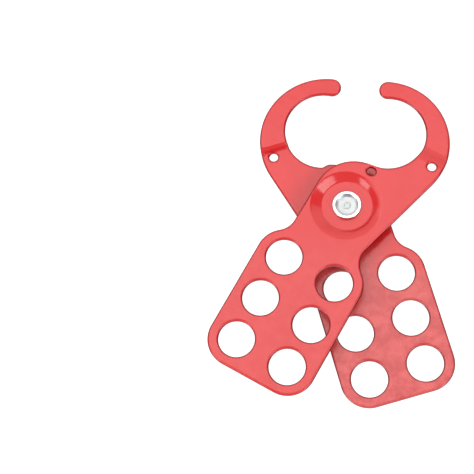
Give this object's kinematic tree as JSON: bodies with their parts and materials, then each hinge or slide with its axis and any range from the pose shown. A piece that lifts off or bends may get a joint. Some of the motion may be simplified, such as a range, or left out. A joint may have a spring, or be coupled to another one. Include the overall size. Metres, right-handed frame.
{
  "type": "lockout hasp",
  "caption": "Scissor lockout hasp of red coated steel plates on a recessed rivet, with padlock holes below and hooks that close into a ring above.",
  "frame": {"origin": "on the surface the hasp lies on, under the middle of its bounding box at rest, which is part open", "axes": "+Z along the pivot from the rear plate to the front plate; +Y along the hasp's middle line towards the hooks; +X to the right seen from the front"},
  "size_m": [0.0816, 0.1132, 0.0075],
  "materials": {
    "red_coat": "glossy red powder coat",
    "zinc_plate": "bright zinc plate"
  },
  "bodies": {
    "rear_half": {"rear_plate": "red_coat", "pivot_rivet": "zinc_plate"},
    "front_half": {"front_plate": "red_coat"}
  },
  "joints": [
    {"name": "pivot", "type": "hinge", "parent": "rear_half", "child": "front_half", "pos_m": [0, 0.01023, 0.00375], "axis": [0, 0, 1], "range_deg": [-30, 45.25]}
  ]
}
